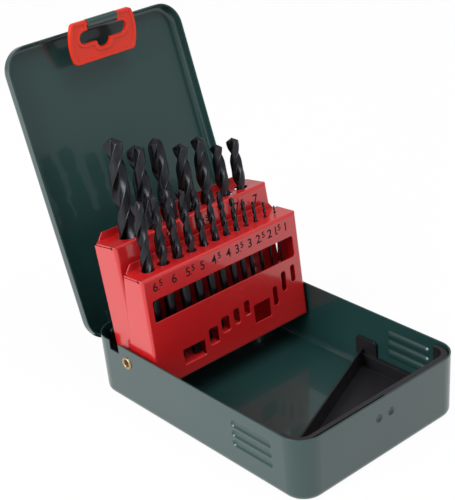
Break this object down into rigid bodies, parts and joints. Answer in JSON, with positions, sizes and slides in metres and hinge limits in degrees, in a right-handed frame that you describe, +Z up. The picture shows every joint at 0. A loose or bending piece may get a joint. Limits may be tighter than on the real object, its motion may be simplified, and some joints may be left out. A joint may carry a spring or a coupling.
{
  "type": "drill bit case",
  "caption": "Sheet-metal twist drill case, open: tray with wedge insert, telescoping hinged lid with hanging slot, and folding racks that stand up holding graded drills.",
  "frame": {"origin": "centre of the tray's flat underside", "axes": "+X right along the lid's hinge line, +Y towards the hinge side, +Z up; lid open and racks standing at rest"},
  "size_m": [0.1172, 0.2159, 0.1928],
  "materials": {
    "green_paint": "gloss",
    "red_paint": "gloss",
    "hanger_plastic": "satin",
    "brass": "satin",
    "bright_steel": "satin",
    "insert_plastic": "matte",
    "black_oxide": "satin black oxide"
  },
  "bodies": {
    "base": {"tray": "green_paint", "wedge_insert": "insert_plastic", "eyelet_left": "brass", "eyelet_right": "brass", "washer_left": "bright_steel", "washer_right": "bright_steel", "tray_hinge_left": "green_paint", "tray_hinge_right": "green_paint", "hinge_pin_left": "bright_steel", "hinge_pin_right": "bright_steel"},
    "lid": {"lid": "green_paint", "lid_hinge_left": "green_paint", "lid_hinge_right": "green_paint"},
    "hanger": {"hanger": "hanger_plastic"},
    "front_rack": {"front_rack": "red_paint"},
    "rear_rack": {"rear_rack": "red_paint"},
    "drill_10_0": {"drill_10_0": "black_oxide"},
    "drill_9_5": {"drill_9_5": "black_oxide"},
    "drill_9_0": {"drill_9_0": "black_oxide"},
    "drill_8_5": {"drill_8_5": "black_oxide"},
    "drill_8_0": {"drill_8_0": "black_oxide"},
    "drill_7_5": {"drill_7_5": "black_oxide"},
    "drill_7_0": {"drill_7_0": "black_oxide"},
    "drill_6_5": {"drill_6_5": "black_oxide"},
    "drill_6_0": {"drill_6_0": "black_oxide"},
    "drill_5_5": {"drill_5_5": "black_oxide"},
    "drill_5_0": {"drill_5_0": "black_oxide"},
    "drill_4_5": {"drill_4_5": "black_oxide"},
    "drill_4_0": {"drill_4_0": "black_oxide"},
    "drill_3_5": {"drill_3_5": "black_oxide"},
    "drill_3_0": {"drill_3_0": "black_oxide"},
    "drill_2_5": {"drill_2_5": "black_oxide"},
    "drill_2_0": {"drill_2_0": "black_oxide"},
    "drill_1_5": {"drill_1_5": "black_oxide"},
    "drill_1_0": {"drill_1_0": "black_oxide"}
  },
  "joints": [
    {"name": "lid_hinge", "type": "hinge", "parent": "base", "child": "lid", "pos_m": [0, 0.07905, 0.0318], "axis": [1, 0, 0], "range_deg": [0, 107.2]},
    {"name": "front_rack_hinge", "type": "hinge", "parent": "base", "child": "front_rack", "pos_m": [0, 0.05145, 0.0273], "axis": [1, 0, 0], "range_deg": [0, 97.2]},
    {"name": "rear_rack_hinge", "type": "hinge", "parent": "base", "child": "rear_rack", "pos_m": [0, 0.05145, 0.0273], "axis": [1, 0, 0], "range_deg": [0, 99.2]},
    {"name": "hanger_pivot", "type": "hinge", "parent": "lid", "child": "hanger", "pos_m": [0, 0.11978, 0.19043], "axis": [1, 0, 0], "range_deg": [-107.4, 0]},
    {"name": "drill_10_0_slide", "type": "slide", "parent": "rear_rack", "child": "drill_10_0", "axis": [-0.0523, -0.1562, -0.9863], "range_m": [-0.0841, 0]},
    {"name": "drill_9_5_slide", "type": "slide", "parent": "rear_rack", "child": "drill_9_5", "axis": [-0.0175, -0.1564, -0.9875], "range_m": [-0.0842, 0]},
    {"name": "drill_9_0_slide", "type": "slide", "parent": "rear_rack", "child": "drill_9_0", "axis": [0, -0.1564, -0.9877], "range_m": [-0.0843, 0]},
    {"name": "drill_8_5_slide", "type": "slide", "parent": "rear_rack", "child": "drill_8_5", "axis": [-0.0523, -0.1562, -0.9863], "range_m": [-0.0842, 0]},
    {"name": "drill_8_0_slide", "type": "slide", "parent": "rear_rack", "child": "drill_8_0", "axis": [-0.0349, -0.1563, -0.9871], "range_m": [-0.0842, 0]},
    {"name": "drill_7_5_slide", "type": "slide", "parent": "rear_rack", "child": "drill_7_5", "axis": [0, -0.1564, -0.9877], "range_m": [-0.0843, 0]},
    {"name": "drill_7_0_slide", "type": "slide", "parent": "rear_rack", "child": "drill_7_0", "axis": [0, -0.1564, -0.9877], "range_m": [-0.0843, 0]},
    {"name": "drill_6_5_slide", "type": "slide", "parent": "front_rack", "child": "drill_6_5", "axis": [0, -0.0872, -0.9962], "range_m": [-0.0667, 0]},
    {"name": "drill_6_0_slide", "type": "slide", "parent": "front_rack", "child": "drill_6_0", "axis": [-0.0174, -0.1219, -0.9924], "range_m": [-0.0593, 0]},
    {"name": "drill_5_5_slide", "type": "slide", "parent": "front_rack", "child": "drill_5_5", "axis": [0, -0.1564, -0.9877], "range_m": [-0.0596, 0]},
    {"name": "drill_5_0_slide", "type": "slide", "parent": "front_rack", "child": "drill_5_0", "axis": [0, -0.1564, -0.9877], "range_m": [-0.0562, 0]},
    {"name": "drill_4_5_slide", "type": "slide", "parent": "front_rack", "child": "drill_4_5", "axis": [0, -0.1668, -0.986], "range_m": [-0.0529, 0]},
    {"name": "drill_4_0_slide", "type": "slide", "parent": "front_rack", "child": "drill_4_0", "axis": [0, -0.1564, -0.9877], "range_m": [-0.0515, 0]},
    {"name": "drill_3_5_slide", "type": "slide", "parent": "front_rack", "child": "drill_3_5", "axis": [0, -0.1668, -0.986], "range_m": [-0.0497, 0]},
    {"name": "drill_3_0_slide", "type": "slide", "parent": "front_rack", "child": "drill_3_0", "axis": [0, -0.1495, -0.9888], "range_m": [-0.0469, 0]},
    {"name": "drill_2_5_slide", "type": "slide", "parent": "front_rack", "child": "drill_2_5", "axis": [0, -0.1132, -0.9936], "range_m": [-0.047, 0]},
    {"name": "drill_2_0_slide", "type": "slide", "parent": "front_rack", "child": "drill_2_0", "axis": [0, -0.1219, -0.9925], "range_m": [-0.042, 0]},
    {"name": "drill_1_5_slide", "type": "slide", "parent": "front_rack", "child": "drill_1_5", "axis": [0, -0.1219, -0.9925], "range_m": [-0.0358, 0]},
    {"name": "drill_1_0_slide", "type": "slide", "parent": "front_rack", "child": "drill_1_0", "axis": [0, -0.1219, -0.9925], "range_m": [-0.0343, 0]}
  ],
  "couplings": [
    {"joint": "front_rack_hinge", "follows": "lid_hinge", "ratio": 0.90485},
    {"joint": "rear_rack_hinge", "follows": "lid_hinge", "ratio": 0.92351},
    {"joint": "hanger_pivot", "follows": "lid_hinge", "ratio": -1}
  ]
}
